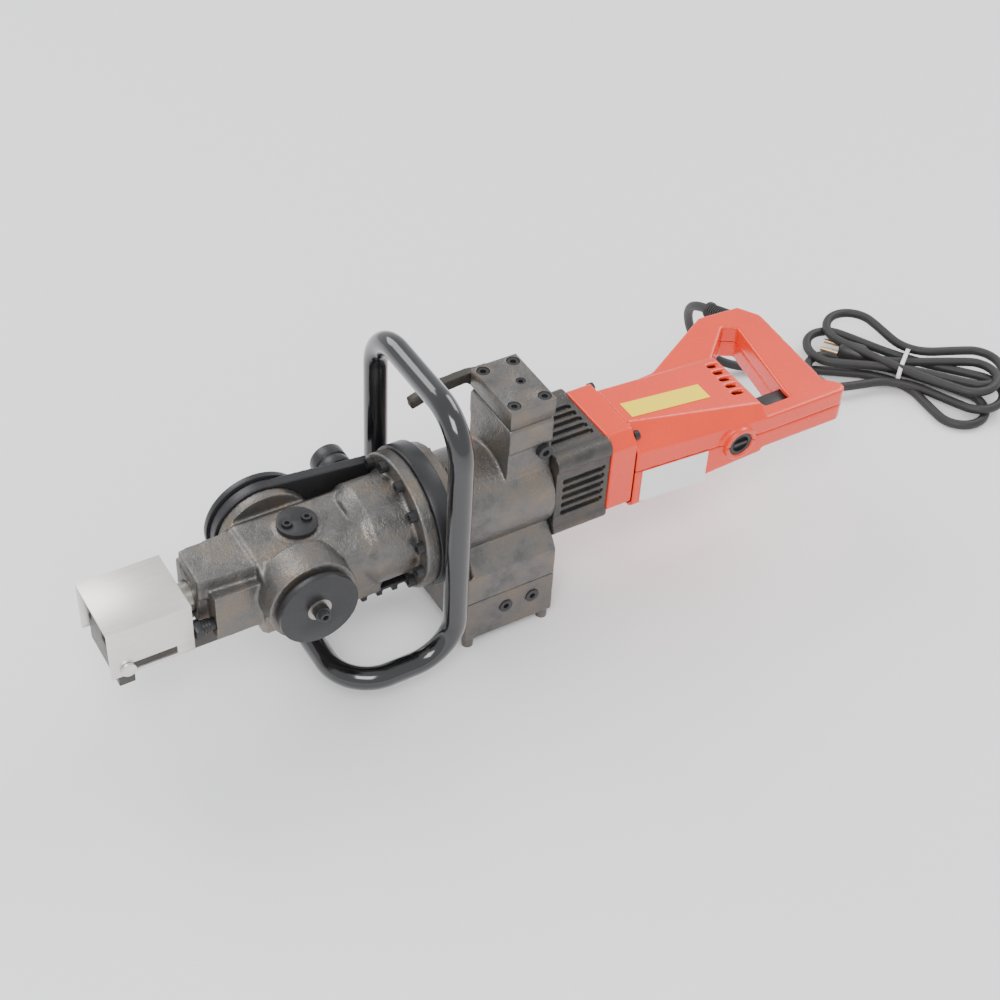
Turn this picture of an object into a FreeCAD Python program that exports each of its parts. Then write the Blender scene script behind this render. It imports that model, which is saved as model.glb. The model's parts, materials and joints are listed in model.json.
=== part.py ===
"""Portable electro-hydraulic rebar bender and cutter, as an assembly of separate pieces.

Millimetres, +Z up, +X towards the rear handle, +Y towards the bending turntable.
The tool stands on four short feet at z = 0. Its long axis lies at z = axis_high.
"""
import FreeCAD, Part
import Sketcher
import math
import os
import re

from FreeCAD import Placement, Rotation, Vector

os.makedirs("parts", exist_ok=True)
doc = FreeCAD.newDocument("rebar_cutter")

# Driving dimensions. Lengths along X count from the middle of the handle collar's housing side.
SIZES = {
    "mid_x": 9.5,             # middle of the tool's length, moved to the origin
    "mid_y": 6.25,            # middle of the tool's width, moved to the origin
    "axis_high": 130,         # long axis above the floor
    "shaft_x": -172,          # bend shaft
    "shaft_z": 133.5,
    "stroke": 39.2,           # ram travel for half a turn of the bend shaft
    "pitch_rad": 12.5,        # bend pinion pitch radius
    "rod_rad": 12,
    "bore_rad": 28,           # hydraulic cylinder
    "fit_gap": 0.05,          # radial running clearance
    "guard_front": -331,
    "guard_back": -263,
    "guard_half": 31.3,
    "guard_low": 104,
    "guard_high": 151.6,
    "sheet": 1.5,
    "head_front": -253,
    "head_back": -74,
    "flange_back": -62,
    "flange_rad": 60,
    "collar_back": -46,
    "collar_rad": 60.5,
    "tube_rad": 10,
    "loop_half": 69.5,
    "loop_top": 275.5,
    "loop_low": 34,
    "loop_front": -153,
    "loop_x": -54,
    "bend_rad": 38,
    "housing_back": 55,
    "housing_rad": 43,
    "block_front": 12.8,
    "block_half": 31.7,
    "block_high": 234,
    "step_high": 216.5,
    "base_front": -31,
    "base_half": 49.5,
    "seam_high": 53,
    "shoulder": 82,
    "foot_high": 10,
    "gear_back": 108,
    "gear_half": 41,
    "ring_back": 133,
    "lever_high": 212,
    "ring_half": 42.5,
    "barrel_back": 262,
    "wall": 3,
    "arm_half": 17,
    "brush_x": 235,
    "cord_rad": 4.5,
    "bolt_rad": 5,
    "bolt_high": 6,
}

dims = doc.addObject("Spreadsheet::Sheet", "dims")
for row, (alias, value) in enumerate(SIZES.items(), start=1):
    dims.set(f"A{row}", alias)
    dims.set(f"B{row}", str(value))
    dims.setAlias(f"B{row}", alias)
doc.recompute()

TURN = {
    "x": Rotation(Vector(0, 1, 0), 90),
    "y": Rotation(Vector(1, 0, 0), -90),
    "z": Rotation(),
}
PLANE = {
    "xy": (Rotation(), Vector(0, 0, 1), "z"),
    "xz": (Rotation(Vector(1, 0, 0), 90), Vector(0, 1, 0), "y"),
    "yz": (Rotation(Vector(1, 1, 1), 120), Vector(1, 0, 0), "x"),
}
NODES = {}


def size(alias):
    """A driving dimension's value, for the few shapes made by code."""
    return float(dims.get(alias))


def bind(obj, prop, text):
    """Bind a property to an expression written with the sheet's aliases."""
    named = re.sub(r"[a-z_]+", lambda m: "dims." + m.group() if m.group() in SIZES else m.group(), str(text))
    obj.setExpression(prop, named)


def place(obj, at, rotation=None):
    if rotation is not None:
        obj.Placement = Placement(Vector(), rotation)
    for axis, text in zip("xyz", at):
        bind(obj, "Placement.Base." + axis, text)
    return obj


def block(xs, ys, zs, rotation=None):
    """A box from its low to its high limit on each axis."""
    obj = doc.addObject("Part::Box", "Block")
    for prop, (low, high) in zip(("Length", "Width", "Height"), (xs, ys, zs)):
        bind(obj, prop, f"({high}) - ({low})")
    return place(obj, (xs[0], ys[0], zs[0]), rotation)


def cyl(axis, at, radius, length, rotation=None):
    obj = doc.addObject("Part::Cylinder", "Round")
    bind(obj, "Radius", radius)
    bind(obj, "Height", length)
    return place(obj, at, rotation or TURN[axis])


def cone(axis, at, start, end, length, rotation=None):
    obj = doc.addObject("Part::Cone", "Taper")
    bind(obj, "Radius1", start)
    bind(obj, "Radius2", end)
    bind(obj, "Height", length)
    return place(obj, at, rotation or TURN[axis])


def fuse(*shapes):
    if len(shapes) == 1:
        return shapes[0]
    obj = doc.addObject("Part::MultiFuse", "Joined")
    obj.Shapes = list(shapes)
    return obj


def cut(base, *tools):
    obj = doc.addObject("Part::Cut", "Cut")
    obj.Base = base
    obj.Tool = fuse(*tools)
    return obj


def common(base, tool):
    obj = doc.addObject("Part::Common", "Shared")
    obj.Base = base
    obj.Tool = tool
    return obj


def outline(plane, points, offset):
    """A closed sketch of straight lines whose corners are bound to the sheet."""
    rotation, _, normal = PLANE[plane]
    sketch = doc.addObject("Sketcher::SketchObject", "Outline")
    count = len(points)
    for index in range(count):
        sketch.addGeometry(Part.LineSegment(Vector(index, index % 2, 0), Vector(index + 1, 1, 0)), False)
    for index in range(count):
        sketch.addConstraint(Sketcher.Constraint("Coincident", index, 2, (index + 1) % count, 1))
    for index, (across, up) in enumerate(points):
        for kind, text in (("DistanceX", across), ("DistanceY", up)):
            number = sketch.addConstraint(Sketcher.Constraint(kind, -1, 1, index, 1, 1.0))
            bind(sketch, f"Constraints[{number}]", text)
    at = {"x": "0", "y": "0", "z": "0"}
    at[normal] = offset
    return place(sketch, (at["x"], at["y"], at["z"]), rotation)


def extrude(sketch, direction, length):
    obj = doc.addObject("Part::Extrusion", "Prism")
    obj.Base = sketch
    obj.DirMode = "Custom"
    obj.Dir = direction
    bind(obj, "LengthFwd", length)
    obj.Solid = True
    return obj


def prism(plane, points, span):
    """A straight prism: its outline lies in the plane, and span is its low and high limit."""
    sketch = outline(plane, points, span[0])
    return extrude(sketch, PLANE[plane][1], f"({span[1]}) - ({span[0]})")


def loft(*sketches):
    obj = doc.addObject("Part::Loft", "Loft")
    obj.Sections = list(sketches)
    obj.Solid = True
    obj.Ruled = True
    return obj


def piece(name, *shapes):
    """A finished sub-part: one node, moved so that the origin is under the tool's middle."""
    obj = doc.addObject("Part::Compound", name)
    obj.Links = list(shapes)
    obj.Label = name
    bind(obj, "Placement.Base.x", "-mid_x")
    bind(obj, "Placement.Base.y", "-mid_y")
    NODES[name] = obj
    return obj


def coded(shape):
    """A solid made by code, where neither primitives nor sketches fit."""
    obj = doc.addObject("Part::Feature", "Formed")
    obj.Shape = shape
    return obj


def socket_screw(axis, at, radius="bolt_rad", height="bolt_high", shank="8", up=True):
    """A socket head screw: its head stands from the seat, its shank goes into the part."""
    x, y, z = at
    step = {"x": (1, 0, 0), "y": (0, 1, 0), "z": (0, 0, 1)}[axis]

    def along(text):
        sign = "+" if up else "-"
        return [f"({c}) {sign} ({text})*{k}" for c, k in zip((x, y, z), step)]

    def bar(start, end, rad):
        low = along(start) if up else along(end)
        return cyl(axis, low, rad, f"({end}) - ({start})")

    head = bar("0", height, radius)
    stem = bar(f"-({shank})", "0", f"({radius})*0.6")
    drive = bar(f"({height})*0.4", f"({height}) + 1", f"({radius})*0.5")
    return cut(fuse(head, stem), drive)


def tooth(plane_axis, centre, root, tip, half_root, half_tip, span, angle):
    """One straight-sided tooth as a prism, turned about the wheel's axis."""
    low, high = span
    pts = [(root, -half_root), (tip, -half_tip), (tip, half_tip), (root, half_root)]
    turn = math.radians(angle)
    cx, cz = centre
    ring = []
    for radial, side in pts:
        a = cx + radial * math.cos(turn) - side * math.sin(turn)
        b = cz + radial * math.sin(turn) + side * math.cos(turn)
        ring.append(Vector(a, low, b) if plane_axis == "y" else Vector(low, a, b))
    face = Part.Face(Part.makePolygon(ring + ring[:1]))
    return face.extrude(Vector(0, high - low, 0) if plane_axis == "y" else Vector(high - low, 0, 0))


# ---------------------------------------------------------------- head casting
def head_casting():
    middle = prism("yz", [("-36", "96"), ("-36", "150"), ("-22", "163"), ("22", "163"), ("36", "150"),
                          ("36", "96"), ("26", "88"), ("-26", "88")], ("-205", "-104"))
    pad = prism("xy", [("head_front", "-19"), ("-200", "-23"), ("-200", "23"), ("head_front + 1", "19")],
                ("140", "161"))
    cheeks = block(("-244", "-200"), ("-31", "31"), ("104", "148"))
    nose = block(("head_front", "-240"), ("-16.4", "24"), ("112", "150"))
    barrel = cyl("x", ("-108", "0", "axis_high"), "housing_rad", "36")
    neck = cone("x", ("-120", "0", "axis_high"), "36", "housing_rad", "12")
    flange = cyl("x", ("head_back", "0", "axis_high"), "flange_rad - 2", "flange_back - head_back")
    spigot = cyl("x", ("flange_back", "0", "axis_high"), "40", "collar_back - flange_back")
    near_boss = cyl("y", ("shaft_x", "-54", "shaft_z"), "37", "30")
    far_boss = cyl("y", ("shaft_x", "30", "shaft_z"), "40", "9")
    cap_boss = cyl("z", ("-159.5", "0", "150"), "18", "14")
    rod_bore = cyl("x", ("-260", "0", "axis_high"), "rod_rad + fit_gap", "160")
    window = block(("-237.5", "-109.7"), ("-10.2", "10.2"), ("109.5", "158.5"))
    cylinder = cyl("x", ("-103", "0", "axis_high"), "bore_rad + fit_gap", "60")
    shaft_hole = cyl("y", ("shaft_x", "-60", "shaft_z"), "16", "104")
    guide_hole = cyl("z", ("-159.5", "0", "150"), "8", "20")
    bolt_hole = cyl("x", ("-246", "-25", "118"), "5", "26")
    low_core = block(("-200", "-112"), ("-27", "27"), ("92", "106.5"))
    side_cores = [block(("-200", "-112"), ys, ("106.5", "116")) for ys in (("-31", "-14"), ("14", "31"))]
    cheek_core = block(("-238", "-206"), ("14", "27"), ("108", "144"))
    boss_core = cut(cyl("y", ("shaft_x", "-50", "shaft_z"), "33", "13"),
                    cyl("y", ("shaft_x", "-51", "shaft_z"), "19.5", "15"))
    body = fuse(middle, pad, cheeks, nose, barrel, neck, flange, spigot, near_boss, far_boss, cap_boss)
    return cut(body, rod_bore, window, cylinder, shaft_hole, guide_hole, bolt_hole,
               low_core, *side_cores, cheek_core, boss_core)


piece("head_casting", head_casting())

# ---------------------------------------------------------------- cutting jaw and blades
rail = block(("-325", "-206"), ("-20", "20"), ("92", "103.8"))
heel = block(("-325", "-312"), ("-29.3", "29.3"), ("92", "117"))
post = block(("-325", "-312"), ("0.4", "22"), ("110", "147"))
web = block(("-312", "-253.2"), ("15", "22"), ("100", "116"))
rail_slots = [block((low, high), ("-11", "11"), ("90", "110")) for low, high in (("-300", "-268"), ("-258", "-214"))]
piece("jaw_frame", cut(fuse(rail, heel, post, web), *rail_slots))
piece("fixed_blade", block(("-311.9", "-300"), ("0.4", "14.8"), ("118", "146")))

blade = block(("-277", "-260.1"), ("-14", "-0.2"), ("119", "141"))
blade_edge = prism("xz", [("-277", "119"), ("-281", "124"), ("-281", "138"), ("-277", "141")], ("-14", "-0.2"))
piece("moving_blade", fuse(blade, blade_edge))

guard_box = block(("guard_front", "guard_back"), ("-guard_half", "guard_half"), ("guard_low", "guard_high"))
guard_room = block(("guard_front - 5", "guard_back + 5"), ("sheet - guard_half", "guard_half - sheet"),
                   ("guard_low - 5", "guard_high - sheet"))
guard_slots = block(("-321.5", "-277"), ("-40", "40"), ("107", "115"))
lip_near = block(("guard_front", "guard_back"), ("-guard_half", "-guard_half + 4"),
                 ("guard_low", "guard_low + sheet"))
lip_far = block(("guard_front", "guard_back"), ("guard_half - 4", "guard_half"),
                ("guard_low", "guard_low + sheet"))
guard_walls = cut(guard_box, guard_room, guard_slots)
heel_room = block(("-400", "-250"), ("-29.6", "29.6"), ("90", "120"))
piece("blade_guard", cut(fuse(guard_walls, lip_near, lip_far), heel_room))
guard_screws = [cyl("y", ("-317.5", side, "111"), "3.4", "4.2") for side in ("-33.6", "29.4")]
guard_heads = [cyl("y", ("-317.5", side, "111"), "6", "2.6") for side in ("-34.3", "31.7")]
piece("guard_screws", *[fuse(a, b) for a, b in zip(guard_screws, guard_heads)])

presser_hex = doc.addObject("Part::Prism", "Hex")
presser_hex.Polygon = 6
presser_hex.Circumradius = 8
presser_hex.Height = 6
place(presser_hex, ("-261", "-25", "118"), TURN["x"])
presser_rod = cyl("x", ("-256", "-25", "118"), "4.9", "30")
presser_rings = [cyl("x", (str(-253.5 + 2.4 * turn), "-25", "118"), "5.6", "1.2") for turn in range(3)]
piece("presser_bolt", fuse(presser_hex, presser_rod, *presser_rings))

# ---------------------------------------------------------------- ram, rack and bend shaft
rack_pitch = size("pitch_rad") * math.pi / 5
rack_line = size("shaft_z") + size("pitch_rad")
yoke = block(("-197", "-110.2"), ("-10", "10"), ("110", "158"))
yoke_room = block(("-189", "-117"), ("-12", "12"), ("117.5", "149.4"))
front_rod = cyl("x", ("-260", "0", "axis_high"), "rod_rad", "64")
rear_rod = fuse(cyl("x", ("-112", "0", "axis_high"), "rod_rad", "62"),
                cyl("x", ("-51", "0", "axis_high"), "rod_rad - 4", "15"))
rack_teeth = []
for number in range(-1, 6):
    middle_x = size("shaft_x") + rack_pitch * (number + 0.5)
    flank = [(middle_x - 2.3, 149.6), (middle_x + 2.3, 149.6),
             (middle_x + 0.75, rack_line - 2), (middle_x - 0.75, rack_line - 2)]
    corner = [Vector(x, -9, z) for x, z in flank]
    rack_teeth.append(Part.Face(Part.makePolygon(corner + corner[:1])).extrude(Vector(0, 18, 0)))
rack = coded(Part.makeCompound(rack_teeth))
piece("ram_rack", fuse(cut(yoke, yoke_room), front_rod, rear_rod, rack))

piston = cyl("x", ("-50", "0", "axis_high"), "bore_rad", "14")
piston_hole = cyl("x", ("-51", "0", "axis_high"), "rod_rad - 4", "20")
seal_groove = cut(cyl("x", ("-45", "0", "axis_high"), "bore_rad + 1", "4"),
                  cyl("x", ("-46", "0", "axis_high"), "bore_rad - 3", "6"))
seal = cut(cyl("x", ("-45", "0", "axis_high"), "bore_rad", "4"),
           cyl("x", ("-46", "0", "axis_high"), "bore_rad - 3", "6"))
piece("piston", cut(piston, piston_hole, seal_groove), seal)

spring_turns = 6
spring_wire = 2.4
spring_length = 52.4 - spring_wire
spring_path = Part.makeHelix(spring_length / spring_turns, spring_length, 20)
spring_seat = Part.Circle(Vector(20, 0, 0), Vector(0, 1, 0), spring_wire / 2).toShape()
spring_solid = Part.Wire(spring_path.Edges).makePipeShell([Part.Wire([spring_seat])], True, True)
spring = coded(spring_solid)
spring.Placement = Placement(Vector(-102.8 + spring_wire / 2, 0, 130), TURN["x"])
piece("return_spring", spring)

shaft_bar = cyl("y", ("shaft_x", "-64", "shaft_z"), "10", "118")
pinion_core = cyl("y", ("shaft_x", "-9.5", "shaft_z"), "10.4", "19")
bend_teeth = []
for number in range(10):
    bend_teeth.append(tooth("y", (size("shaft_x"), size("shaft_z")), 9.5, 14.2, 2.2, 0.7, (-9, 9), 90 + 36 * number))
teeth = coded(Part.makeCompound(bend_teeth))
piece("bend_shaft", fuse(shaft_bar, pinion_core, teeth))

piece("shaft_bushes", *[cut(cyl("y", ("shaft_x", low, "shaft_z"), "15.9", length),
                            cyl("y", ("shaft_x", "-60", "shaft_z"), "10 + fit_gap", "130"))
                        for low, length in (("-53.8", "43.2"), ("10.6", "28.2"))])

disc = cyl("y", ("shaft_x", "-64", "shaft_z"), "33", "6")
disc_hub = cyl("y", ("shaft_x", "-58", "shaft_z"), "14", "3.6")
disc_stud = cyl("y", ("shaft_x", "-74", "shaft_z"), "4.6", "10")
disc_bore = cyl("y", ("shaft_x", "-64.5", "shaft_z"), "10", "12")
disc_pip = cyl("y", ("shaft_x - 7", "-66", "shaft_z + 7"), "2.4", "4")
disc_hex = cyl("y", ("shaft_x", "-75", "shaft_z"), "2.4", "5")
end_plate = cut(fuse(disc, disc_hub), disc_bore, disc_pip)
disc_nut = cyl("y", ("shaft_x", "-70", "shaft_z"), "6.6", "5.9")
piece("shaft_end_disc", end_plate, cut(fuse(disc_stud, disc_nut), disc_hex))

table = cyl("y", ("shaft_x", "50", "shaft_z"), "44", "5")
table_hub = cyl("y", ("shaft_x", "40.5", "shaft_z"), "15", "10")
table_pin = cyl("y", ("shaft_x", "54.5", "shaft_z"), "6", "18.5")
piece("bend_turntable", cut(fuse(table, table_hub, table_pin), cyl("y", ("shaft_x", "40", "shaft_z"), "10", "14")))
piece("centre_roller", cut(cyl("y", ("shaft_x", "55.4", "shaft_z"), "10", "15"),
                           cyl("y", ("shaft_x", "50", "shaft_z"), "6 + fit_gap", "30")))
piece("bend_pin", fuse(cyl("y", ("shaft_x", "55", "shaft_z - 34"), "5", "17"),
                       cyl("y", ("shaft_x", "71.6", "shaft_z - 34"), "7.5", "2.4")))
piece("bend_roller", cut(cyl("y", ("shaft_x", "55.4", "shaft_z - 34"), "9", "15.8"),
                         cyl("y", ("shaft_x", "50", "shaft_z - 34"), "5 + fit_gap", "30")))


def side_plate():
    """The curved cheek beside the turntable: a round front and a straight tongue to the rear."""
    arc = cyl("y", ("shaft_x", "39.2", "shaft_z"), "42", "9.4")
    tongue = prism("xz", [("-172", "175.4"), ("-75", "164"), ("-75", "136"), ("-150", "126")],
                   ("39.2", "48.6"))
    relief = prism("xz", [("-128", "137"), ("-60", "137"), ("-60", "80"), ("-128", "80")], ("30", "60"))
    hole = cyl("y", ("shaft_x", "30", "shaft_z"), "15.6", "30")
    lower = prism("xz", [("-230", "112"), ("-120", "112"), ("-120", "80"), ("-230", "80")], ("30", "60"))
    return cut(fuse(arc, tongue), relief, hole, lower)


piece("side_plate", side_plate())
support_post = cut(cyl("y", ("-98", "48.6", "150"), "6", "26"), cyl("y", ("-98", "73", "150"), "2", "3"))
piece("support_pin", fuse(support_post, cyl("y", ("-98", "48.6", "150"), "11", "2.4")))
roller_cut = cut(cyl("y", ("-98", "51.4", "150"), "15", "22"), cyl("y", ("-98", "50", "150"), "6 + fit_gap", "30"))
roller_rim = cut(cyl("y", ("-98", "60", "150"), "17", "2"), cyl("y", ("-98", "59", "150"), "13.8", "4"))
piece("support_roller", cut(roller_cut, roller_rim))

cap = cut(cyl("z", ("-159.5", "0", "164"), "16.5", "4"),
          cyl("z", ("-168", "0", "166"), "4.4", "4"), cyl("z", ("-151", "0", "166"), "4.4", "4"))
piece("rack_guide_cap", fuse(cap, cyl("z", ("-159.5", "0", "158.6"), "7.9", "6")))
piece("guide_cap_screws", *[socket_screw("z", (x, "0", "166.2"), "4", "3.6", "2") for x in ("-168", "-151")])

strip = block(("-132", "-75"), ("-27", "-9"), ("80", "87.8"))
strip_slots = [block((str(x), str(x + 9)), ("-30", "-14"), ("78", "85")) for x in (-126, -112, -98, -84)]
piece("under_strip", cut(strip, *strip_slots))

# ---------------------------------------------------------------- flange, collar and loop handle
flange_screws = []
for number in range(12):
    turn = math.radians(30 * number + 15)
    seat = ("head_back", f"51*{math.cos(turn):.5f}", f"axis_high + 51*{math.sin(turn):.5f}")
    flange_screws.append(socket_screw("x", seat, "4.6", "6", "40", up=False))
piece("flange_screws", *flange_screws)
screw_holes = [cyl("x", ("flange_back - 13", f"51*{math.cos(math.radians(30 * n + 15)):.5f}",
                         f"axis_high + 51*{math.sin(math.radians(30 * n + 15)):.5f}"), "2.76", "42")
               for n in range(12)]
NODES["head_casting"].Links = [cut(NODES["head_casting"].Links[0], *screw_holes[:12])]

collar_disc = cyl("x", ("flange_back", "0", "axis_high"), "collar_rad", "collar_back - flange_back")
collar_bore = cyl("x", ("flange_back - 1", "0", "axis_high"), "40 + fit_gap", "20")
collar_tubes = [cyl("z", ("loop_x", side, "60"), "tube_rad", "140") for side in ("-loop_half", "loop_half")]
collar_holes = [cyl("x", ("flange_back - 1", f"51*{math.cos(math.radians(30 * n + 15)):.5f}",
                          f"axis_high + 51*{math.sin(math.radians(30 * n + 15)):.5f}"), "2.9", "20")
                for n in range(12)]
piece("handle_collar", cut(collar_disc, collar_bore, *collar_tubes, *collar_holes))


def tube_along(points, radius, bends):
    """A round bar along straight runs joined by tangent arcs. Returns the solid and its length."""
    edges = []
    start = points[0]
    length = 0
    for index in range(1, len(points) - 1):
        before = (points[index] - points[index - 1]).normalize()
        after = (points[index + 1] - points[index]).normalize()
        half = before.getAngle(after) / 2
        setback = bends[index - 1] * math.tan(half)
        enter = points[index] - before * setback
        leave = points[index] + after * setback
        inward = (after - before).normalize()
        middle = points[index] + inward * (bends[index - 1] / math.cos(half) - bends[index - 1])
        if (enter - start).Length > 1e-6:
            edges.append(Part.LineSegment(start, enter).toShape())
        edges.append(Part.Arc(enter, middle, leave).toShape())
        length += (enter - start).Length + 2 * half * bends[index - 1]
        start = leave
    edges.append(Part.LineSegment(start, points[-1]).toShape())
    length += (points[-1] - start).Length
    path = Part.Wire(edges)
    ring = Part.Circle(points[0], points[1] - points[0], radius).toShape()
    solid = path.makePipeShell([Part.Wire([ring])], True, False)
    return solid, length


def loop_handle(upper):
    """Half of the closed loop: the upright bow, or the two low arms with their cross bar."""
    half, top, low = size("loop_half"), size("loop_top"), size("loop_low")
    front, plane, bend = size("loop_front"), size("loop_x"), size("bend_rad")
    weld = 112.0
    if upper:
        route = [Vector(plane, -half, weld), Vector(plane, -half, top), Vector(plane, half, top),
                 Vector(plane, half, weld)]
    else:
        route = [Vector(plane, -half, weld), Vector(plane, -half, low), Vector(front, -half, low),
                 Vector(front, half, low), Vector(plane, half, low), Vector(plane, half, weld)]
    solid, _ = tube_along(route, size("tube_rad"), [bend] * (len(route) - 2))
    bore, _ = tube_along(route, size("tube_rad") - 2.8, [bend] * (len(route) - 2))
    return coded(solid.cut(bore))


piece("loop_handle_bow", loop_handle(True))
piece("loop_handle_rest", loop_handle(False))


# ---------------------------------------------------------------- pump housing and valve block
def pump_housing():
    flange = cyl("x", ("collar_back", "0", "axis_high"), "56", "10")
    barrel = cyl("x", ("collar_back", "0", "axis_high"), "housing_rad", "housing_back - collar_back")
    tower = block(("block_front", "housing_back - 0.7"), ("-block_half + 1.2", "block_half - 1.2"),
                  ("axis_high", "step_high - 3"))
    brow = block(("block_front", "housing_back - 0.7"), ("-block_half", "block_half"), ("190", "step_high - 6"))
    base = block(("base_front", "housing_back"), ("-base_half", "base_half"), ("seam_high", "shoulder"))
    slope = prism("yz", [("-base_half", "shoulder"), ("-34", "103"), ("34", "103"), ("base_half", "shoulder")],
                  ("base_front + 6", "housing_back"))
    cylinder = cyl("x", ("-47", "0", "axis_high"), "bore_rad + fit_gap", "13")
    crank_room = cyl("x", ("24", "0", "112"), "20", "40")
    front_bearing = cyl("x", ("13", "0", "112"), "6 + fit_gap", "20")
    plunger_bores = [cyl("z", (x, "0", "57"), "5 + fit_gap", "50") for x in ("32", "44")]
    bores = [cyl("x", ("collar_back - 1", f"51*{math.cos(math.radians(30 * n + 15)):.5f}",
                       f"axis_high + 51*{math.sin(math.radians(30 * n + 15)):.5f}"), "2.76", "12")
             for n in range(12)]
    lever_hole = cyl("y", ("30", "10", "lever_high"), "4", "30")
    side_hole = cyl("y", ("46", "-50", "182"), "5", "30")
    body = fuse(flange, barrel, tower, brow, base, slope)
    return cut(body, cylinder, crank_room, front_bearing, *plunger_bores, *bores, lever_hole, side_hole)


piece("pump_housing", pump_housing())

cover_seats = [("19.5", "-24.5"), ("47.5", "-24.5"), ("19.5", "24.5"), ("47.5", "24.5")]
valve_plate = block(("block_front", "housing_back - 0.7"), ("-block_half", "block_half"),
                    ("step_high", "block_high"))
valve_neck = block(("block_front + 1.5", "housing_back - 2.2"), ("-block_half + 2", "block_half - 2"),
                   ("step_high - 3", "step_high"))
seat_holes = [cyl("z", (x, y, "block_high - 4"), "5.6", "6") for x, y in cover_seats]
seat_holes += [cyl("z", (x, y, "step_high - 5"), "3.1", "30") for x, y in cover_seats]
plug_hole = cyl("z", ("40", "0", "block_high - 8"), "4.2", "10")
piece("valve_cover", cut(fuse(valve_plate, valve_neck), *seat_holes, plug_hole))
piece("valve_cover_screws", *[socket_screw("z", (x, y, "block_high - 4"), "bolt_rad", "3.4", "16")
                              for x, y in cover_seats])
valve_plug = (cut(cyl("z", ("40", "0", "block_high - 8"), "4.1", "7.4"),
                  cyl("z", ("40", "0", "block_high - 3"), "2.1", "4")))
side_plug = (cut(fuse(cyl("y", ("46", "-35.5", "182"), "6.5", "5"), cyl("y", ("46", "-31", "182"), "4.9", "16")),
                 cyl("y", ("46", "-36", "182"), "3", "3")))


def release_lever():
    """The forged pressure release lever: an eye on its pin and a curved arm to the front."""
    eye = cyl("y", ("30", "36", "lever_high"), "11", "9")
    arm = prism("xz", [("36", "lever_high + 9"), ("14", "lever_high + 13"), ("-16", "lever_high + 11"),
                       ("-40", "lever_high + 3"), ("-38", "lever_high - 6"), ("-15", "lever_high + 1"),
                       ("12", "lever_high + 3"), ("24", "lever_high - 8")], ("36.5", "44.5"))
    hole = cyl("y", ("30", "30", "lever_high"), "4 + fit_gap", "20")
    return cut(fuse(eye, arm), hole)


piece("release_lever", release_lever())
piece("lever_pin", fuse(cyl("y", ("30", "12", "lever_high"), "3.98", "34"),
                        cyl("y", ("30", "46", "lever_high"), "6.5", "3")))

tank = block(("base_front", "housing_back"), ("-base_half", "base_half"), ("foot_high", "seam_high"))
tank_room = block(("base_front + 6", "housing_back - 6"), ("-base_half + 6", "base_half - 6"),
                  ("foot_high + 5", "seam_high + 1"))
plug_bores = [cyl("y", (x, "-base_half - 1", "36"), "5", "12") for x in ("8", "34")]
piece("bottom_cover", cut(tank, tank_room, *plug_bores))
bottom_plugs = [cut(fuse(cyl("y", (x, "-base_half - 0.8", "36"), "6.2", "0.8"),
                         cyl("y", (x, "-base_half", "36"), "4.95", "6")),
                    cyl("y", (x, "-base_half - 2", "36"), "2.6", "5")) for x in ("8", "34")]
piece("socket_plugs", valve_plug, side_plug, *bottom_plugs)
feet = [cyl("z", (x, y, "0"), "5", "foot_high") for x in ("base_front + 6", "housing_back - 6")
        for y in ("-base_half + 6", "base_half - 6")]
piece("feet", *feet)

# ---------------------------------------------------------------- pump drive
ecc_shaft = cyl("x", ("14", "0", "112"), "6", "66")
lobe = cyl("x", ("26", "0", "114"), "12", "24")
wheel = cyl("x", ("67", "0", "112"), "12.3", "12")
wheel_teeth = [tooth("x", (0, 112), 12, 14.2, 0.85, 0.3, (67, 79), 90 + 360 / 27 * (n + 0.5)) for n in range(27)]
piece("eccentric_shaft", fuse(ecc_shaft, lobe, wheel, coded(Part.makeCompound(wheel_teeth))))
piece("pump_plungers", *[cyl("z", (x, "0", "62"), "5", "35.6") for x in ("32", "44")])


# ---------------------------------------------------------------- gear housing, motor ring, motor
def gear_housing():
    square = prism("yz", [("-gear_half", "axis_high - 33"), ("-gear_half", "axis_high + 33"),
                          ("-33", "axis_high + gear_half"), ("33", "axis_high + gear_half"),
                          ("gear_half", "axis_high + 33"), ("gear_half", "axis_high - 33"),
                          ("33", "axis_high - gear_half"), ("-33", "axis_high - gear_half")],
                   ("housing_back", "gear_back"))
    slots = []
    for step in range(-3, 4):
        offset = 8.6 * step
        if abs(step) < 3:
            slots.append(block(("housing_back + 7", "gear_back - 5"), (str(offset - 2.6), str(offset + 2.6)),
                               ("axis_high + 36", "axis_high + 60")))
            slots.append(block(("housing_back + 7", "gear_back - 5"), (str(offset - 2.6), str(offset + 2.6)),
                               ("axis_high - 60", "axis_high - 36")))
            for side in (("-60", "-36"), ("36", "60")):
                slots.append(block(("housing_back + 7", "gear_back - 5"), side,
                                   (f"axis_high + {offset - 2.6}", f"axis_high + {offset + 2.6}")))
    gear_room = cyl("x", ("60", "0", "axis_high"), "33.6", "22")
    fan_room = cyl("x", ("96", "0", "axis_high"), "33.6", "20")
    bearing_seat = cyl("x", ("80", "0", "axis_high"), "13", "20")
    shaft_hole = cyl("x", ("50", "0", "112"), "6 + fit_gap", "14")
    bosses = [cyl("x", ("housing_back", y, z), "9", "gear_back - housing_back")
              for y in ("-34", "34") for z in ("axis_high - 34", "axis_high + 34")]
    corner_bolts = [cyl("x", ("gear_back - 12", y, z), "2.6", "20")
                    for y in ("-35", "35") for z in ("axis_high - 35", "axis_high + 35")]
    body = fuse(cut(square, *slots), *bosses)
    return cut(body, gear_room, fan_room, bearing_seat, shaft_hole, *corner_bolts)


piece("gear_housing", gear_housing())

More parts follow.
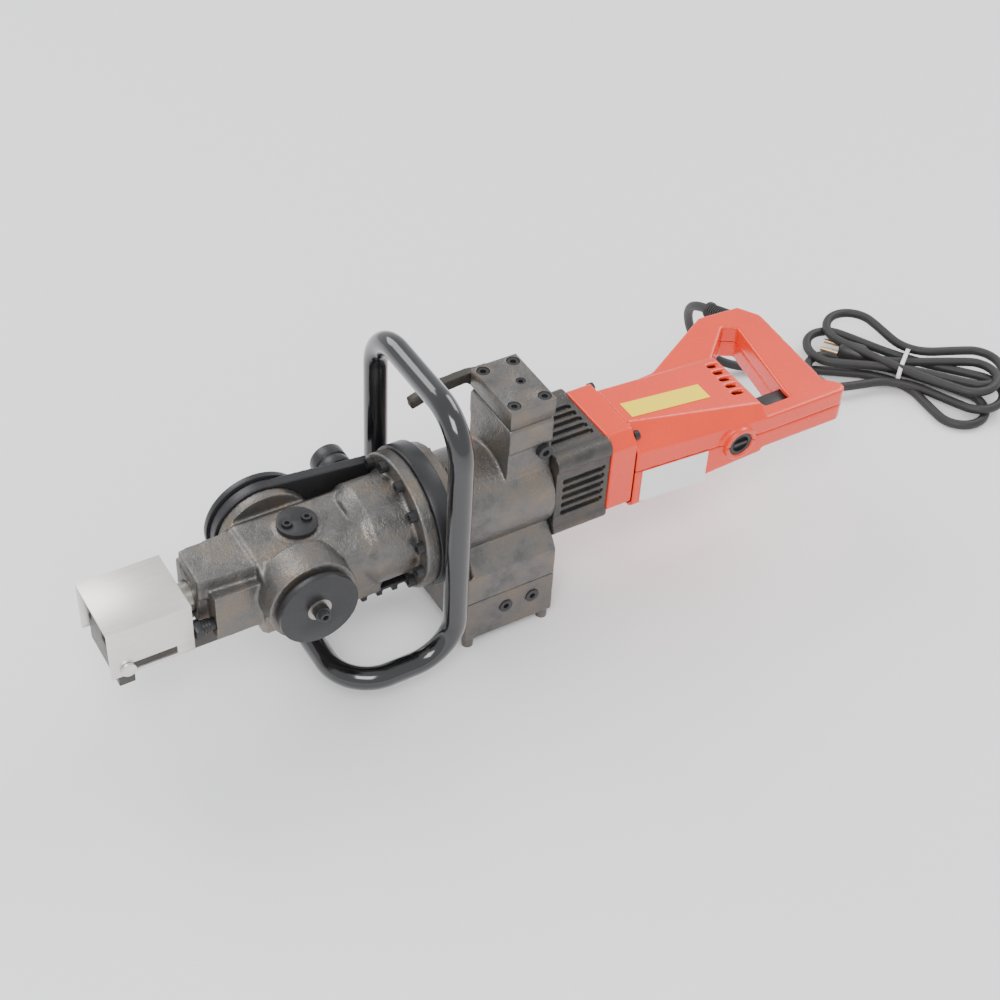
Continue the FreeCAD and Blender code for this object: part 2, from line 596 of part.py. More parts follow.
ring_points = [("-ring_half", "axis_high - 32"), ("-ring_half", "axis_high + 32"),
               ("-32", "axis_high + ring_half"), ("32", "axis_high + ring_half"),
               ("ring_half", "axis_high + 32"), ("ring_half", "axis_high - 32"),
               ("32", "axis_high - ring_half"), ("-32", "axis_high - ring_half")]
ring_block = prism("yz", ring_points, ("gear_back", "ring_back"))
ring_bore = cyl("x", ("gear_back - 1", "0", "axis_high"), "36", "30")
ring_holes = [cyl("x", ("gear_back - 1", y, z), "2.6", "30")
              for y in ("-35", "35") for z in ("axis_high - 35", "axis_high + 35")]
piece("motor_ring", cut(ring_block, ring_bore, *ring_holes))
piece("ring_screws", *[socket_screw("x", ("ring_back", y, z), "4.2", "4.5", "35")
                       for y in ("-35", "35") for z in ("axis_high - 35", "axis_high + 35")])

rotor_bar = cyl("x", ("66", "0", "axis_high"), "3.6", "190")
rotor_journal = cyl("x", ("82", "0", "axis_high"), "5", "162")
pinion_teeth = [tooth("x", (0, 130), 3.3, 5.2, 0.85, 0.3, (66, 80), 270 + 40 * n) for n in range(9)]
piece("armature_shaft", fuse(rotor_bar, rotor_journal, coded(Part.makeCompound(pinion_teeth))))
hollow = cyl("x", ("90", "0", "axis_high"), "5", "170")
piece("armature_core", cut(cyl("x", ("118", "0", "axis_high"), "17", "56"), hollow),
      cut(cyl("x", ("226", "0", "axis_high"), "11", "17"), hollow))
fan_blades = [block(("98", "106"), ("14", "29"), (f"{-0.8}", f"{0.8}")) for _ in range(9)]
for number, vane in enumerate(fan_blades):
    angle = math.radians(40 * number)
    spin = Rotation(Vector(1, 0, 0), 40 * number)
    place(vane, ("98", f"14*{math.cos(angle):.5f}", f"axis_high + 14*{math.sin(angle):.5f}"), spin)
fan_hub = cut(cyl("x", ("98", "0", "axis_high"), "15", "8"), hollow)
piece("cooling_fan", fuse(fan_hub, *fan_blades))
piece("stator", cut(cyl("x", ("112", "0", "axis_high"), "33", "66"), cyl("x", ("110", "0", "axis_high"), "17.6", "80")))
piece("motor_bearings", *[cut(cyl("x", (start, "0", "axis_high"), "12.9", "9"),
                              cyl("x", (start, "0", "axis_high"), f"{bore} + fit_gap", "9"))
                          for start, bore in (("84", "5"), ("246", "3.6"))])

brushes = [block(("brush_x - 4", "brush_x + 4"), ys, ("axis_high - 3", "axis_high + 3"))
           for ys in (("-24", "-11.2"), ("11.2", "24"))]
holders = []
for low, high in (("-46", "-13"), ("13", "32")):
    tube = cyl("y", ("brush_x", low, "axis_high"), "8", f"({high}) - ({low})")
    slot = block(("brush_x - 4.1", "brush_x + 4.1"), (f"({low}) - 1", f"({high}) + 1"),
                 ("axis_high - 3.1", "axis_high + 3.1"))
    holders.append(cut(tube, slot))
piece("brush_sets", *brushes, *holders)

# ---------------------------------------------------------------- handle shells
frame_points = [("150", "-45.1"), ("262", "-52.5"), ("344", "-53"), ("350", "-49"), ("350", "-42"),
                ("339", "-31"), ("345", "70"), ("333", "89"), ("291", "92"), ("209", "46"), ("150", "41")]
grip_points = [("263", "33"), ("302", "70"), ("314", "63"), ("298", "-28"), ("298", "-37.5"), ("271", "-37.5")]


def octagon(at, near, far, low, high, chamfer):
    return outline("yz", [(f"{near}", f"{low} + 5"), (f"{near}", f"{high} - {chamfer}"),
                          (f"{near} + {chamfer}", f"{high}"), (f"{far} - {chamfer}", f"{high}"),
                          (f"{far}", f"{high} - {chamfer}"), (f"{far}", f"{low} + 5"),
                          (f"{far} - 5", f"{low}"), (f"{near} + 5", f"{low}")], at)


def handle_shell():
    """Both handle halves in one: a tapered motor barrel joined to a flat D-shaped grip."""
    barrel = loft(octagon("ring_back", "-44", "42", "88", "172", "20"),
                  octagon("barrel_back", "-52.5", "38", "105", "157", "10"))
    room = loft(octagon("ring_back - 1", "-41", "39", "91", "169", "18.6"),
                octagon("barrel_back - 4", "-49.5", "35", "108", "154", "8.6"))
    plate = prism("xy", frame_points, ("axis_high - arm_half", "axis_high + arm_half"))
    opening = prism("xy", grip_points, ("50", "200"))
    rim = extrude(offset_outline(grip_points, 3), Vector(0, 0, 1), "200")
    hollow_plate = extrude(offset_outline(frame_points, -3), Vector(0, 0, 1), "2*arm_half - 2*wall")
    cavity = cut(hollow_plate, rim)
    cap_ring = cyl("y", ("brush_x", "-56", "axis_high"), "16", "10")
    cap_bore = cyl("y", ("brush_x", "-60", "axis_high"), "11.4", "30")
    far_bore = cyl("y", ("brush_x", "25", "axis_high"), "11.4", "30")
    trigger_slot = block(("290", "303"), ("-37.8", "-19.6"), ("axis_high - 11.4", "axis_high + 11.4"))
    thumb_guard = block(("288", "299"), ("-19.5", "-16"), ("axis_high + 12", "axis_high + 20"))
    relief_hole = cyl("y", ("330", "80", "133.6"), "8.2", "16")
    vents = []
    for number in range(5):
        low = -24 + 10 * number
        vents.append(block((str(246 + low * 0.05), str(260 + low * 0.05)), (str(low), str(low + 4.5)),
                           ("axis_high + 24.5", "axis_high + 40")))
    body = cut(fuse(barrel, plate, cap_ring, thumb_guard), opening)
    return cut(body, room, cavity, cap_bore, far_bore, trigger_slot, relief_hole, *vents)


def offset_outline(points, distance):
    """The outline moved outwards by the distance, at the level where its hollow starts."""
    z = size("axis_high") - size("arm_half") + size("wall") if distance < 0 else 50
    corners = [Vector(float(x), float(y), z) for x, y in points]
    wire = Part.makePolygon(corners + corners[:1])
    return coded(Part.Face(wire).makeOffset2D(distance, join=2))


shells = handle_shell()
upper_room = block(("120", "360"), ("-80", "120"), ("axis_high", "axis_high + 80"))
lower_room = block(("120", "360"), ("-80", "120"), ("axis_high - 80", "axis_high"))
piece("handle_upper", common(shells, upper_room))
piece("handle_lower", common(shells, lower_room))

piece("brush_caps", *[cut(cyl("y", ("brush_x", low, "axis_high"), "11.2", "7"),
                          cut(cyl("y", ("brush_x", mouth, "axis_high"), "8", "3"),
                              block(("brush_x - 7", "brush_x + 7"), (mouth, f"({mouth}) + 3"),
                                    ("axis_high - 1.5", "axis_high + 1.5"))))
                      for low, mouth in (("-54.4", "-54.6"), ("33", "37.2"))])

trigger_face = block(("272", "304"), ("-37.1", "-20"), ("axis_high - 11", "axis_high + 11"))
piece("trigger", trigger_face)
piece("switch_body", block(("312", "334"), ("-36", "-6"), ("axis_high - 12", "axis_high + 12")))
switch_spring = cut(cyl("x", ("304.1", "-29", "axis_high"), "4", "7.8"), cyl("x", ("303", "-29", "axis_high"), "3", "10"))
piece("trigger_spring", switch_spring)

plate_lean = math.degrees(math.atan(8.5 / 129))
name_plate = block(("140", "205"), ("-0.6", "0"), ("98", "132"))
place(name_plate, ("140", "-45.2", "96"), Rotation(Vector(0, 0, 1), -plate_lean))
piece("name_plate", name_plate)
top_lean = math.degrees(math.atan(15 / 129))
sticker = block(("140", "222"), ("-22", "-3"), ("0", "0.4"))
place(sticker, ("141", "-20", "171.2"), Rotation(Vector(0, 1, 0), top_lean))
piece("top_sticker", sticker)

# ---------------------------------------------------------------- mains cord
relief_aim = Rotation(Vector(1, 0, 0), -90 - 19.3)
relief_body = cone("y", ("330", "86.5", "133.6"), "7.8", "6.6", "38", relief_aim)
aim = Vector(0, math.cos(math.radians(19.3)), -math.sin(math.radians(19.3)))
base = Vector(330, 86.5, 133.6)
ribs = []
for number in range(7):
    at = base + aim * (13 + 4 * number)
    rib = cyl("y", (str(at.x), f"{at.y:.3f}", f"{at.z:.3f}"), "8.4", "2", relief_aim)
    ribs.append(rib)
piece("strain_relief", fuse(relief_body, *ribs))

CORD_ROUTE = [
    (330, 124.6, 120.3),
    (331, 148, 111.6),
    (338, 166, 88),
    (350, 171, 56),
    (366, 167, 28),
    (390, 156, 9.5),
    (420, 140, 4.7),
    (452, 124, 4.7),
]


def cord_lead():
    route = [Vector(*point) for point in CORD_ROUTE]
    bends = []
    for index in range(1, len(route) - 1):
        before = route[index] - route[index - 1]
        after = route[index + 1] - route[index]
        half = before.getAngle(after) / 2
        bends.append(0.45 * min(before.Length, after.Length) / math.tan(half))
    solid, length = tube_along(route, size("cord_rad"), bends)
    section = math.pi * size("cord_rad") ** 2
    print("cord radii", [round(bend, 1) for bend in bends])
    print("cord length", round(length, 1), "volume ratio", round(solid.Volume / (section * length), 4))
    return coded(solid)


piece("cord_lead", cord_lead())
hank_plan = [("450", "84"), ("446", "112"), ("470", "146"), ("512", "168"), ("552", "158"), ("566", "110"),
             ("572", "80"), ("612", "62"), ("634", "34"), ("632", "4"), ("600", "-34"), ("560", "-46"),
             ("536", "-30"), ("530", "20"), ("520", "52"), ("490", "64")]
piece("cord_hank", prism("xy", hank_plan, ("0", "26")))
tie_box = block(("-4", "4"), ("-30", "30"), ("0", "27.4"))
place(tie_box, ("518.6", "51.1", "0.2"), Rotation(Vector(0, 0, 1), -53))
piece("cable_tie", tie_box)
plug_turn = Rotation(Vector(0, 0, 1), 127)
plug_flat = plug_turn.multiply(TURN["x"])
piece("mains_plug", cyl("x", ("528", "88", "14"), "11", "38", plug_flat))
pins = []
for side in (-7, 7):
    foot = Vector(528, 88, 14) + plug_turn.multVec(Vector(38, side, 0))
    pins.append(cyl("x", (f"{foot.x:.3f}", f"{foot.y:.3f}", "14"), "2.4", "18", plug_flat))
piece("plug_pins", *pins)

# ---------------------------------------------------------------- seats
SEATS = (
    ("side_plate", "head_casting"),
    ("side_plate", "flange_screws"),
    ("under_strip", "flange_screws"),
    ("rack_guide_cap", "guide_cap_screws"),
    ("handle_lower", "ring_screws"),
    ("handle_upper", "ring_screws"),
    ("handle_lower", "name_plate"),
    ("pump_housing", "socket_plugs"),
    ("valve_cover", "lever_pin"),
    ("handle_lower", "stator"),
)
for name, other in SEATS:
    seated = cut(NODES[name], NODES[other])
    seated.Label = name
    NODES[name] = seated

# ---------------------------------------------------------------- checks and export
doc.recompute()
for obj in doc.Objects:
    if "Invalid" in obj.State or "Error" in obj.State:
        raise RuntimeError(f"{obj.Name} ({obj.TypeId}) failed: {obj.State}")
for name, obj in NODES.items():
    shape = obj.Shape
    if shape.isNull() or not shape.isValid() or not shape.Solids:
        raise RuntimeError(f"{name} has no valid solid")
    shape.exportStep(f"parts/{name}.step")
whole = Part.makeCompound([obj.Shape for name, obj in NODES.items()
                           if name not in ("strain_relief", "cord_lead", "cord_hank", "cable_tie", "mains_plug", "plug_pins")])
box = whole.optimalBoundingBox(False)
print(len(NODES), "nodes;", [round(v, 2) for v in (box.XMin, box.XMax, box.YMin, box.YMax, box.ZMin, box.ZMax)])
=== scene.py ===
import json
import math

import bpy
from mathutils import Matrix, Vector


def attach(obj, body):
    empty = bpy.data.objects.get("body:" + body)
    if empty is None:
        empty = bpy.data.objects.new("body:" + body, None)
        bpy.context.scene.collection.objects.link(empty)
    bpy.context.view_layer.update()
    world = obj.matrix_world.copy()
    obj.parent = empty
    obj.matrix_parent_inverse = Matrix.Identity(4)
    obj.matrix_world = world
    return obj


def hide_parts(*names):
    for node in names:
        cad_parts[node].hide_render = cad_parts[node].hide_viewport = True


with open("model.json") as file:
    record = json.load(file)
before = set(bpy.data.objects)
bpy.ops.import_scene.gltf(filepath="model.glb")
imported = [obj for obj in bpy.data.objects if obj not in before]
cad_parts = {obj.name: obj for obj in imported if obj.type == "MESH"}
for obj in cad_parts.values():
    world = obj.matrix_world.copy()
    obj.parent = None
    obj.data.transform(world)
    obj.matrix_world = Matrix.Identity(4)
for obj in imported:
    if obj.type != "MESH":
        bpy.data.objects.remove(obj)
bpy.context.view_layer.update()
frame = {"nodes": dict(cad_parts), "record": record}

MM = 0.001
MID_X, MID_Y = 9.5, 6.25            # the origin's place in the tool's own X and Y, in millimetres
AXIS_HIGH = 130.35


def at(x, y, z):
    """A point given in millimetres along the tool, in the frame's metres."""
    return Vector(((x - MID_X) * MM, (y - MID_Y) * MM, z * MM))


# ---------------------------------------------------------------- camera
def make_camera():
    turn, height, roll = math.radians(-33.011), math.radians(43.007), math.radians(3.645)
    back = Vector((math.sin(turn) * math.cos(height), -math.cos(turn) * math.cos(height), math.sin(height)))
    right = (-back).cross(Vector((0, 0, 1))).normalized()
    up = right.cross(-back)
    level = right * math.cos(roll) + up * math.sin(roll)
    top = up * math.cos(roll) - right * math.sin(roll)
    place = Matrix((level, top, back)).transposed().to_4x4()
    place.translation = at(15.09, -19.22, AXIS_HIGH) + back * 1.5087
    data = bpy.data.cameras.new("view")
    data.lens = 65.87
    data.sensor_width = 36
    camera = bpy.data.objects.new("view", data)
    camera.matrix_world = place
    bpy.context.scene.collection.objects.link(camera)
    bpy.context.scene.camera = camera


make_camera()


# ---------------------------------------------------------------- materials
class Nodes:
    """A short way to wire one material's nodes."""

    def __init__(self, name):
        self.material = bpy.data.materials.new(name)
        self.material.use_nodes = True
        self.tree = self.material.node_tree
        self.shader = self.tree.nodes["Principled BSDF"]
        self.point = self.tree.nodes.new("ShaderNodeTexCoord").outputs["Object"]

    def add(self, kind, **values):
        node = self.tree.nodes.new(kind)
        for key, value in values.items():
            if key in node.inputs:
                node.inputs[key].default_value = value
            else:
                setattr(node, key, value)
        return node

    def link(self, source, target):
        self.tree.links.new(source, target)

    def noise(self, scale, detail=4.0, roughness=0.55):
        node = self.add("ShaderNodeTexNoise", Scale=scale, Detail=detail, Roughness=roughness)
        self.link(self.point, node.inputs["Vector"])
        return node.outputs["Fac"]

    def cells(self, scale):
        node = self.add("ShaderNodeTexVoronoi", Scale=scale)
        self.link(self.point, node.inputs["Vector"])
        return node.outputs["Distance"]

    def ramp(self, source, stops):
        node = self.add("ShaderNodeValToRGB")
        elements = node.color_ramp.elements
        while len(elements) < len(stops):
            elements.new(0.5)
        for element, (position, colour) in zip(elements, stops):
            element.position = position
            element.color = (*colour, 1)
        self.link(source, node.inputs["Fac"])
        return node.outputs["Color"]

    def level(self, source, low, high):
        node = self.add("ShaderNodeMapRange")
        node.inputs["To Min"].default_value = low
        node.inputs["To Max"].default_value = high
        self.link(source, node.inputs["Value"])
        return node.outputs["Result"]

    def bump(self, source, strength, distance):
        node = self.add("ShaderNodeBump", Strength=strength, Distance=distance)
        self.link(source, node.inputs["Height"])
        return node


def shade(scale, colour):
    return tuple(scale * part for part in colour)


def surface(name, colour, metal, gloss, grain, relief, spread=0.25, coat=0.0, stain=None):
    """A finish: mottled colour, uneven gloss and two sizes of surface grain."""
    wires = Nodes(name)
    shader = wires.shader
    shader.inputs["Metallic"].default_value = metal
    shader.inputs["Coat Weight"].default_value = coat
    shader.inputs["Coat Roughness"].default_value = 0.12
    broad = wires.noise(22.0, 6.0)
    fine = wires.noise(grain, 3.0)
    stops = [(0.30, shade(1 - spread, colour)), (0.55, colour), (0.75, shade(1 + spread, colour))]
    if stain:
        stops.append((0.86, stain))
    wires.link(wires.ramp(broad, stops), shader.inputs["Base Color"])
    wires.link(wires.level(fine, gloss[0], gloss[1]), shader.inputs["Roughness"])
    rough = wires.bump(fine, relief, 0.0006)
    wires.link(rough.outputs["Normal"], shader.inputs["Normal"])
    return wires.material


def cast_finish(name, colour, gloss):
    """Sand-cast iron under a satin graphite coat, with a pebbled skin and brown tints."""
    wires = Nodes(name)
    shader = wires.shader
    shader.inputs["Metallic"].default_value = 0.75
    warm = (colour[0] * 1.25, colour[1] * 1.08, colour[2] * 0.92)
    tint = wires.ramp(wires.noise(34.0, 8.0, 0.7), [
        (0.30, shade(0.62, colour)), (0.48, colour), (0.62, warm), (0.78, shade(1.35, colour))])
    wires.link(tint, shader.inputs["Base Color"])
    wires.link(wires.level(wires.noise(300.0, 2.0), gloss[0], gloss[1]), shader.inputs["Roughness"])
    coarse = wires.bump(wires.noise(420.0, 3.0, 0.6), 0.55, 0.0009)
    pits = wires.bump(wires.cells(900.0), 0.25, 0.0005)
    wires.link(coarse.outputs["Normal"], pits.inputs["Normal"])
    wires.link(pits.outputs["Normal"], shader.inputs["Normal"])
    return wires.material


def brushed_finish(name, colour, stretch, gloss):
    """Sheet or ground metal with fine lines along one axis."""
    wires = Nodes(name)
    shader = wires.shader
    shader.inputs["Metallic"].default_value = 0.85
    scale = wires.add("ShaderNodeMapping")
    scale.inputs["Scale"].default_value = stretch
    wires.link(wires.point, scale.inputs["Vector"])
    lines = wires.add("ShaderNodeTexNoise", Scale=60.0, Detail=4.0)
    wires.link(scale.outputs["Vector"], lines.inputs["Vector"])
    tint = wires.ramp(lines.outputs["Fac"], [(0.3, shade(0.9, colour)), (0.7, colour)])
    wires.link(tint, shader.inputs["Base Color"])
    wires.link(wires.level(lines.outputs["Fac"], gloss[0], gloss[1]), shader.inputs["Roughness"])
    rough = wires.bump(lines.outputs["Fac"], 0.08, 0.0003)
    wires.link(rough.outputs["Normal"], shader.inputs["Normal"])
    return wires.material


FINISH = {
    "cast_iron": cast_finish("cast_iron", (0.150, 0.144, 0.137), (0.28, 0.48)),
    "cast_cover": cast_finish("cast_cover", (0.140, 0.133, 0.126), (0.28, 0.46)),
    "gear_cast": cast_finish("gear_cast", (0.085, 0.082, 0.079), (0.34, 0.5)),
    "black_steel": surface("black_steel", (0.030, 0.030, 0.032), 0.35, (0.30, 0.46), 420.0, 0.12),
    "gloss_black": surface("gloss_black", (0.007, 0.007, 0.008), 0.0, (0.10, 0.17), 90.0, 0.03, coat=0.7),
    "stainless": brushed_finish("stainless", (0.80, 0.765, 0.735), (1, 14, 14), (0.30, 0.42)),
    "tool_steel": brushed_finish("tool_steel", (0.36, 0.34, 0.31), (10, 1, 10), (0.28, 0.42)),
    "dark_steel": surface("dark_steel", (0.085, 0.078, 0.07), 0.7, (0.36, 0.55), 260.0, 0.3,
                          stain=(0.11, 0.075, 0.05)),
    "bronze": brushed_finish("bronze", (0.52, 0.36, 0.17), (8, 1, 8), (0.3, 0.45)),
    "core_steel": surface("core_steel", (0.26, 0.25, 0.24), 0.8, (0.4, 0.55), 300.0, 0.2),
    "orange_plastic": surface("orange_plastic", (0.82, 0.042, 0.008), 0.0, (0.22, 0.30), 240.0, 0.04,
                              0.05, 0.25),
    "black_plastic": surface("black_plastic", (0.020, 0.020, 0.021), 0.0, (0.36, 0.50), 520.0, 0.14),
    "rubber": surface("rubber", (0.022, 0.0215, 0.021), 0.0, (0.48, 0.62), 600.0, 0.16),
    "pin_brass": brushed_finish("pin_brass", (0.70, 0.55, 0.33), (6, 1, 6), (0.25, 0.35)),
    "white_tie": surface("white_tie", (0.82, 0.82, 0.82), 0.0, (0.3, 0.4), 240.0, 0.04, 0.03),
    "yellow_label": surface("yellow_label", (1.0, 0.74, 0.0), 0.0, (0.34, 0.42), 240.0, 0.03, 0.03),
}
slot_of = {part["node"]: part["material_slot"] for part in frame["record"]["subparts"]}


def dress(piece, slot):
    piece.data.materials.clear()
    piece.data.materials.append(FINISH[slot])


def cad_object(node):
    held = frame["nodes"][node]
    return held if isinstance(held, bpy.types.Object) else bpy.data.objects[node]


for node, slot in slot_of.items():
    for socket in cad_object(node).material_slots:
        socket.material = FINISH[slot]

body_of = {node: body for body, nodes in frame["record"]["behaviour"]["bodies"].items() for node in nodes}


# ---------------------------------------------------------------- pieces made from a CAD node's own form
BEVEL_ANGLE = math.radians(38)
SHARP_ANGLE = math.radians(40)


def copy_of(node, name):
    mesh = cad_object(node).data.copy()
    piece = bpy.data.objects.new(name, mesh)
    bpy.context.scene.collection.objects.link(piece)
    dress(piece, slot_of[node])
    return piece


def settle(piece):
    """Apply the piece's modifiers to its mesh."""
    depsgraph = bpy.context.evaluated_depsgraph_get()
    piece.data = bpy.data.meshes.new_from_object(piece.evaluated_get(depsgraph))
    piece.modifiers.clear()


def stand_for(piece, node, smooth=True):
    for face in piece.data.polygons:
        face.use_smooth = smooth
    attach(piece, body_of[node])
    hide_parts(node)


def moulded(node, voxel, rounds, skin=0.0, grain=0.006):
    """A cast or moulded piece: every edge rounded over, with an optional uneven skin."""
    piece = copy_of(node, node + "_form")
    remesh = piece.modifiers.new("fill", "REMESH")
    remesh.mode = "VOXEL"
    remesh.voxel_size = voxel
    relax = piece.modifiers.new("round", "SMOOTH")
    relax.factor = 0.5
    relax.iterations = rounds
    if skin:
        pattern = bpy.data.textures.new(node + "_skin", "CLOUDS")
        pattern.noise_scale = grain
        lumps = piece.modifiers.new("skin", "DISPLACE")
        lumps.texture = pattern
        lumps.strength = skin
        lumps.mid_level = 0.5
        lumps.texture_coords = "LOCAL"
    settle(piece)
    stand_for(piece, node)


def eased(node, width):
    """A machined piece: its sharp edges broken by a small round."""
    piece = copy_of(node, node + "_form")
    weld = piece.modifiers.new("weld", "WELD")
    weld.merge_threshold = 0.00001
    ease = piece.modifiers.new("ease", "BEVEL")
    ease.width = width
    ease.segments = 2
    ease.limit_method = "ANGLE"
    ease.angle_limit = BEVEL_ANGLE
    ease.use_clamp_overlap = True
    settle(piece)
    stand_for(piece, node, smooth=False)
    piece.data.shade_smooth()
    piece.data.set_sharp_from_angle(angle=SHARP_ANGLE)


moulded("head_casting", 0.0012, 3, 0.0006, 0.010)
moulded("pump_housing", 0.0012, 2, 0.0005, 0.010)
moulded("gear_housing", 0.0010, 2, 0.0003)
moulded("handle_upper", 0.0011, 10)
moulded("handle_lower", 0.0011, 10)
moulded("motor_ring", 0.0011, 5)
moulded("release_lever", 0.0009, 6, 0.0004)
moulded("side_plate", 0.0008, 2)
moulded("bottom_cover", 0.0015, 3, 0.0004, 0.010)
moulded("under_strip", 0.0007, 2)
for node in ("valve_cover", "shaft_end_disc", "rack_guide_cap", "bend_turntable", "handle_collar",
             "jaw_frame", "support_roller", "centre_roller", "bend_roller", "trigger", "presser_bolt"):
    eased(node, 0.0006)
eased("blade_guard", 0.0003)


# ---------------------------------------------------------------- mains cord
CORD_DIAMETER = 0.009
CORD_ROUTE = [
    (330, 124.6, 120.3),
    (331, 148, 111.6),
    (338, 166, 88),
    (350, 171, 56),
    (366, 167, 28),
    (390, 156, 9.5),
    (420, 140, 4.7),
    (452, 124, 4.7),
]
HANK_MIDDLE = (545, 66)
HANK_HEADING = -53
LOBE_RADIUS = 27
LOBE_STEPS = 9
LOBE_STEP_ANGLE = 26
# Each lobe: its direction in degrees, its reach, and the cord's height at its tip.
LOBES = [
    (-76, 98, 4.9), (155, 98, 14), (-58, 104, 14.5), (130, 100, 18),
    (-34, 100, 20), (103, 94, 23), (-50, 94, 25),
]
# Each pass of the waist: how far to the side of the middle, and its height.
PASSES = [(-5, 4.7), (5, 4.9), (-14, 9), (14, 13), (-5, 17), (14, 21.5), (-14, 21.5), (5, 16)]


def waist(number):
    side, high = PASSES[number]
    heading = math.radians(HANK_HEADING)
    return HANK_MIDDLE[0] - side * math.sin(heading), HANK_MIDDLE[1] + side * math.cos(heading), high


def lobe(number):
    """One round end of the hank, counter-clockwise, from one pass of the waist to the next."""
    direction, reach, high = LOBES[number]
    aim = math.radians(direction)
    x = HANK_MIDDLE[0] + (reach - LOBE_RADIUS) * math.cos(aim)
    y = HANK_MIDDLE[1] + (reach - LOBE_RADIUS) * math.sin(aim)
    before, after = PASSES[number][1], PASSES[number + 1][1]
    points = []
    middle = (LOBE_STEPS - 1) // 2
    for step in range(LOBE_STEPS):
        angle = aim + math.radians(LOBE_STEP_ANGLE * (step - middle))
        share = abs(step - middle) / middle * 0.55
        level = high + share * ((before if step < middle else after) - high)
        points.append((x + LOBE_RADIUS * math.cos(angle), y + LOBE_RADIUS * math.sin(angle), level))
    return points


def make_cord():
    route = [at(*point) for point in CORD_ROUTE]
    for number in range(len(LOBES)):
        route.append(at(*waist(number)))
        route += [at(*point) for point in lobe(number)]
    route += [at(*waist(len(LOBES))), at(530.5, 84.7, 14.4), at(526.2, 90.4, 14)]
    curve = bpy.data.curves.new("cord_line", "CURVE")
    curve.dimensions = "3D"
    curve.bevel_depth = CORD_DIAMETER / 2
    curve.bevel_resolution = 6
    curve.resolution_u = 10
    spline = curve.splines.new("NURBS")
    spline.points.add(len(route) - 1)
    for knot, point in zip(spline.points, route):
        knot.co = (*point, 1)
    spline.order_u = 3
    spline.use_endpoint_u = True
    curve.use_fill_caps = True
    curve.materials.append(FINISH["rubber"])
    cord = bpy.data.objects.new("mains_cord", curve)
    bpy.context.scene.collection.objects.link(cord)
    return cord


cord = make_cord()
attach(cord, "frame")
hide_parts("cord_lead", "cord_hank")


def revolved(name, profile, place, turns=40):
    """A round piece about local Z from (radius, height) pairs in millimetres."""
    vertices, faces = [], []
    for radius, height in profile:
        for index in range(turns):
            angle = 2 * math.pi * index / turns
            vertices.append((radius * MM * math.cos(angle), radius * MM * math.sin(angle), height * MM))
    for ring in range(len(profile) - 1):
        for index in range(turns):
            beside = (index + 1) % turns
            low, high = ring * turns, (ring + 1) * turns
            faces.append((low + index, low + beside, high + beside, high + index))
    faces.append(tuple(reversed(range(turns))))
    faces.append(tuple(range((len(profile) - 1) * turns, len(profile) * turns)))
    mesh = bpy.data.meshes.new(name)
    mesh.from_pydata(vertices, [], faces)
    mesh.transform(place)
    piece = bpy.data.objects.new(name, mesh)
    bpy.context.scene.collection.objects.link(piece)
    for face in mesh.polygons:
        face.use_smooth = len(face.vertices) == 4
    return piece


def make_plug():
    profile = [(4.6, 0), (5.4, 0.6), (5.6, 6), (7.5, 9), (10.2, 13), (10.9, 16), (10.9, 33), (10.4, 36),
               (9.4, 38)]
    turn = Matrix.Rotation(math.radians(HANK_HEADING + 180), 4, "Z") @ Matrix.Rotation(math.pi / 2, 4, "Y")
    place = Matrix.Translation(at(528, 88, 14)) @ turn
    plug = revolved("plug_body", profile, place)
    dress(plug, "black_plastic")
    return plug


plug = make_plug()
stand_for(plug, "mains_plug")
for face in plug.data.polygons:
    face.use_smooth = len(face.vertices) == 4


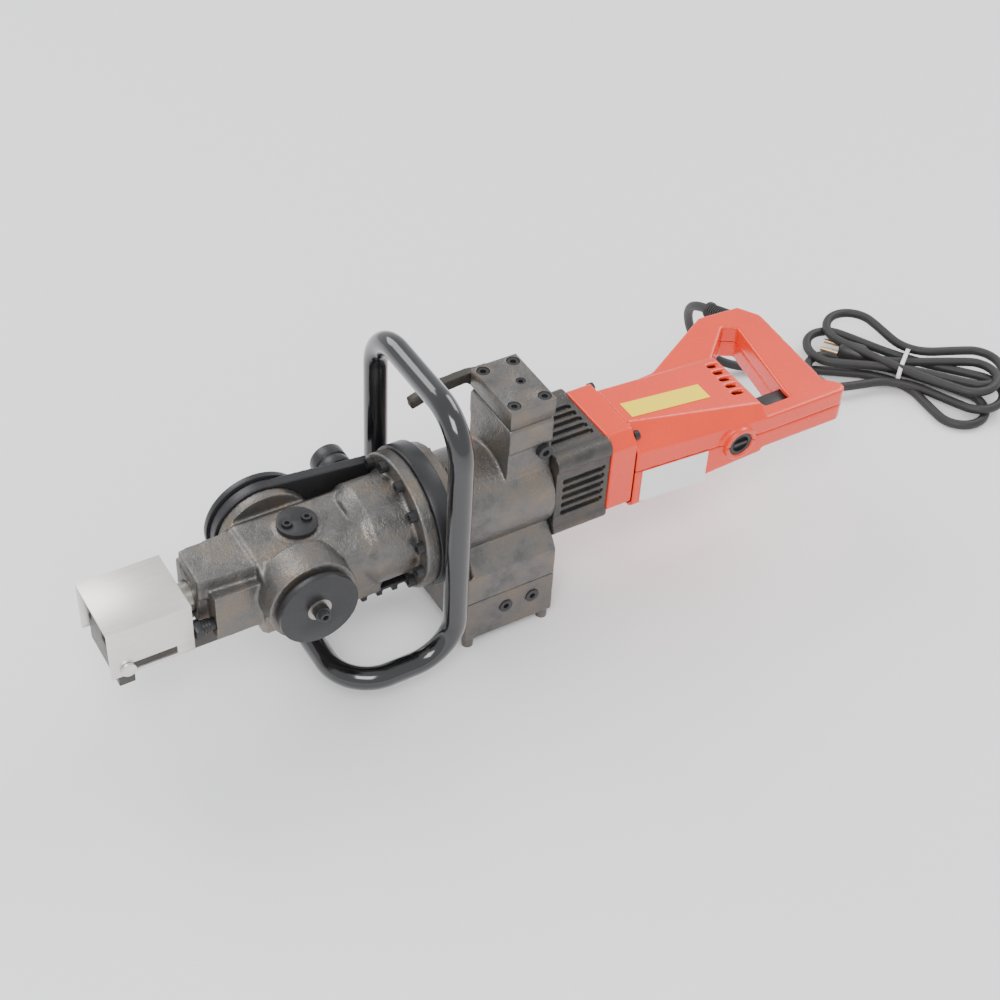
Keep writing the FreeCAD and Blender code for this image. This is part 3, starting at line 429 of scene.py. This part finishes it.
def make_tie():
    """A nylon strap round the waist of the hank."""
    heading = math.radians(HANK_HEADING)
    along = Vector((math.cos(heading), math.sin(heading), 0))
    side = Vector((-math.sin(heading), math.cos(heading), 0))
    middle = at(*HANK_MIDDLE, 0)
    half, high, thick, wide = 21.0, 27.4, 1.1, 4.2
    ring = []
    for index in range(32):
        angle = 2 * math.pi * index / 32
        across, up = math.cos(angle), math.sin(angle)
        round_up = math.copysign(abs(up) ** 0.6, up)
        round_across = math.copysign(abs(across) ** 0.6, across)
        ring.append((half * round_across, high / 2 * (1 + round_up * 0.985)))
    vertices, faces = [], []
    count = len(ring)
    for edge in (-wide / 2, wide / 2):
        for shrink in (0.0, thick):
            for across, up in ring:
                inward = 1 - shrink / half
                point = middle + along * edge * MM + side * across * inward * MM
                point.z = (high / 2 + (up - high / 2) * inward) * MM
                vertices.append(point)
    for a, b in ((0, 1), (1, 3), (3, 2), (2, 0)):
        for index in range(count):
            beside = (index + 1) % count
            faces.append((a * count + index, a * count + beside, b * count + beside, b * count + index))
    mesh = bpy.data.meshes.new("tie_strap")
    mesh.from_pydata(vertices, [], faces)
    mesh.validate()
    piece = bpy.data.objects.new("tie_strap", mesh)
    bpy.context.scene.collection.objects.link(piece)
    dress(piece, "white_tie")
    return piece


tie = make_tie()
stand_for(tie, "cable_tie")


def make_relief():
    """The ribbed, tapered sleeve where the cord leaves the grip."""
    profile = [(7.9, 0), (7.9, 10)]
    for rib in range(8):
        low = 11 + 3.4 * rib
        outer = 7.9 - 0.12 * rib
        profile += [(outer - 1.5, low), (outer - 1.5, low + 1.0), (outer, low + 1.3), (outer, low + 2.9)]
    profile += [(8.2, 39.0), (8.2, 41.0), (7.2, 42.2), (4.6, 42.3)]
    aim = Matrix.Rotation(math.radians(-90 - 19.3), 4, "X")
    place = Matrix.Translation(at(330, 85.2, 133.9)) @ aim
    piece = revolved("relief_sleeve", profile, place, 48)
    dress(piece, "rubber")
    return piece


relief = make_relief()
stand_for(relief, "strain_relief")
relief.data.shade_flat()


# ---------------------------------------------------------------- floor and light
def make_stage():
    bpy.ops.mesh.primitive_plane_add(size=12, location=(0, 0, 0))
    floor = bpy.context.object
    floor.name = "floor"
    wires = Nodes("floor_paper")
    wires.shader.inputs["Base Color"].default_value = (0.90, 0.90, 0.91, 1)
    wires.shader.inputs["Roughness"].default_value = 0.6
    floor.data.materials.append(wires.material)
    world = bpy.data.worlds.new("studio")
    world.use_nodes = True
    world.node_tree.nodes["Background"].inputs["Color"].default_value = (0.97, 0.98, 1, 1)
    world.node_tree.nodes["Background"].inputs["Strength"].default_value = 1.05
    bpy.context.scene.world = world
    lights = (("key", (-0.9, -1.3, 2.0), 1.1, 40), ("side", (1.6, 0.4, 1.5), 1.0, 16),
              ("back", (-0.6, 1.7, 1.6), 1.2, 22))
    for name, place, width, power in lights:
        data = bpy.data.lights.new(name, "AREA")
        data.energy = power
        data.size = width
        lamp = bpy.data.objects.new(name, data)
        lamp.location = place
        lamp.rotation_euler = (Vector((0, 0, 0.1)) - Vector(place)).to_track_quat("-Z", "Y").to_euler()
        bpy.context.scene.collection.objects.link(lamp)


make_stage()
